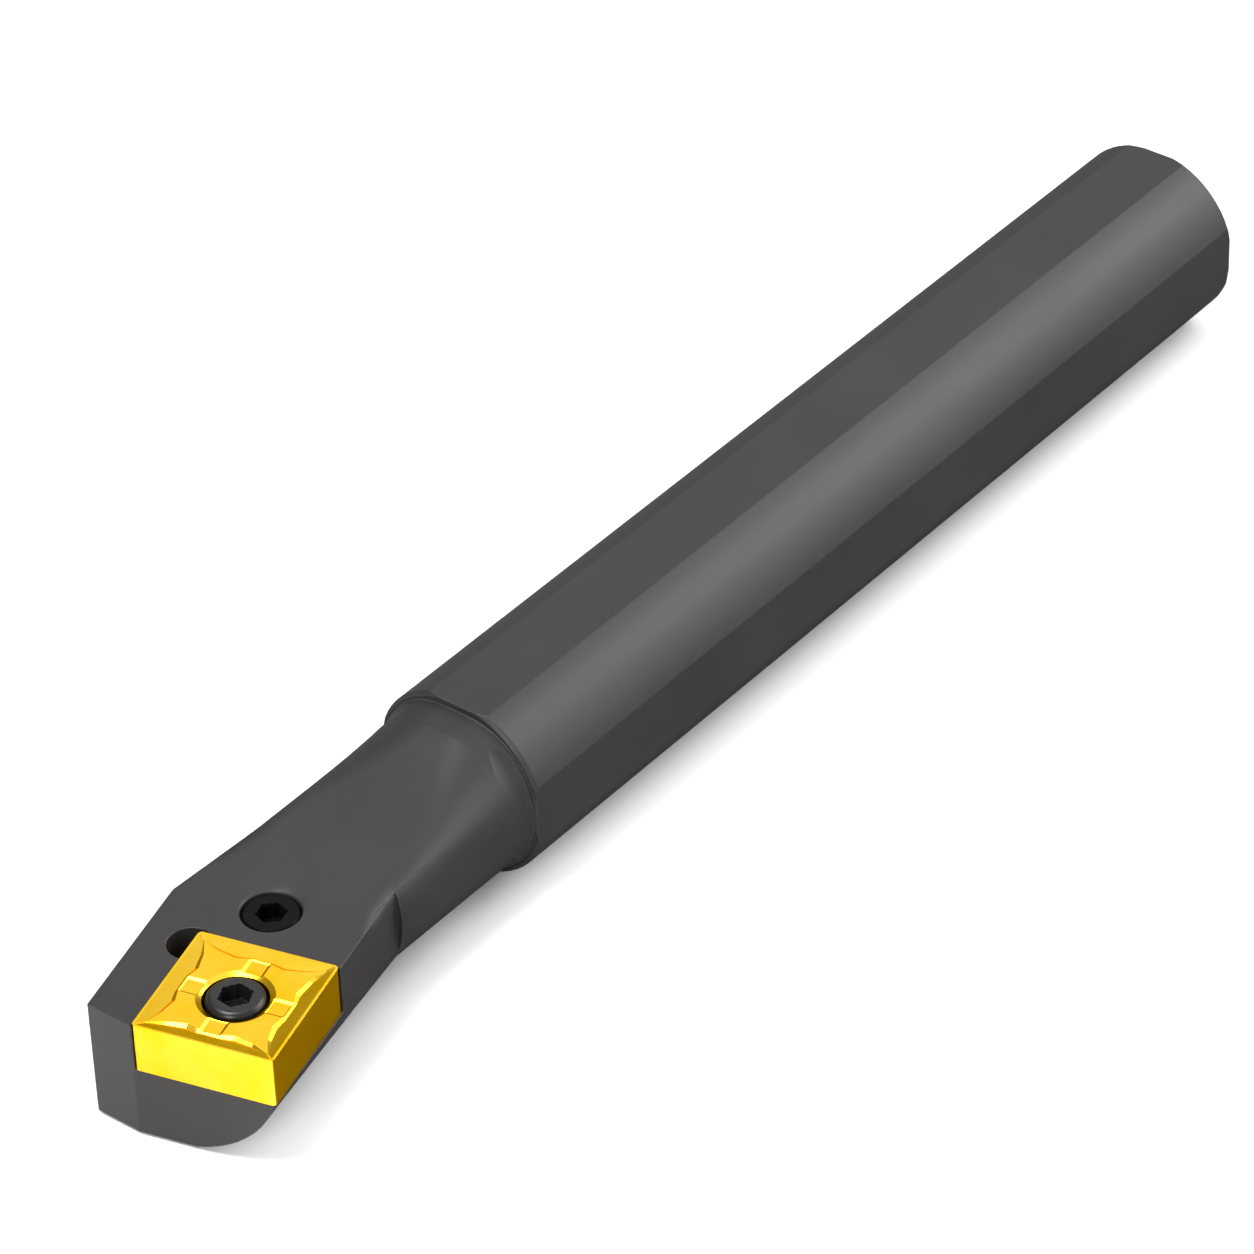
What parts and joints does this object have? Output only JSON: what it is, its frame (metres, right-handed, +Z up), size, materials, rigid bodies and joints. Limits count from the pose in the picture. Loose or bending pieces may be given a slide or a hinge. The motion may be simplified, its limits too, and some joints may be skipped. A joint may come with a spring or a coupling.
{
  "type": "boring bar",
  "caption": "Round steel boring bar with flats on the shank, a waisted neck and a skewed head that holds a square indexable insert with a lever and a lever screw.",
  "frame": {"origin": "centre of the shank's rear end face", "axes": "+X along the shank's axis towards the head, +Z up out of the insert's top face, +Y towards the side the insert cuts on"},
  "size_m": [0.15, 0.0215, 0.0168],
  "materials": {
    "body": "satin oxide black steel",
    "insert": "gold titanium nitride coating on carbide",
    "lock": "satin black oxide steel"
  },
  "bodies": {
    "holder": {"bar_body": "body", "insert": "insert"},
    "lever": {"lever": "lock"},
    "lever_screw": {"lever_screw": "lock"}
  },
  "joints": [
    {"name": "screw_turn", "type": "hinge", "parent": "holder", "child": "lever_screw", "pos_m": [0.13223, 0.00071, 0.00305], "axis": [0, 0, -1], "range_deg": [0, 360]},
    {"name": "lever_tilt", "type": "hinge", "parent": "holder", "child": "lever", "pos_m": [0.14376, 0.00619, -0.0046], "axis": [0.43, -0.9028, 0], "range_deg": [0, 0.9]}
  ],
  "couplings": [
    {"joint": "lever_tilt", "follows": "screw_turn", "ratio": 0.0025}
  ]
}
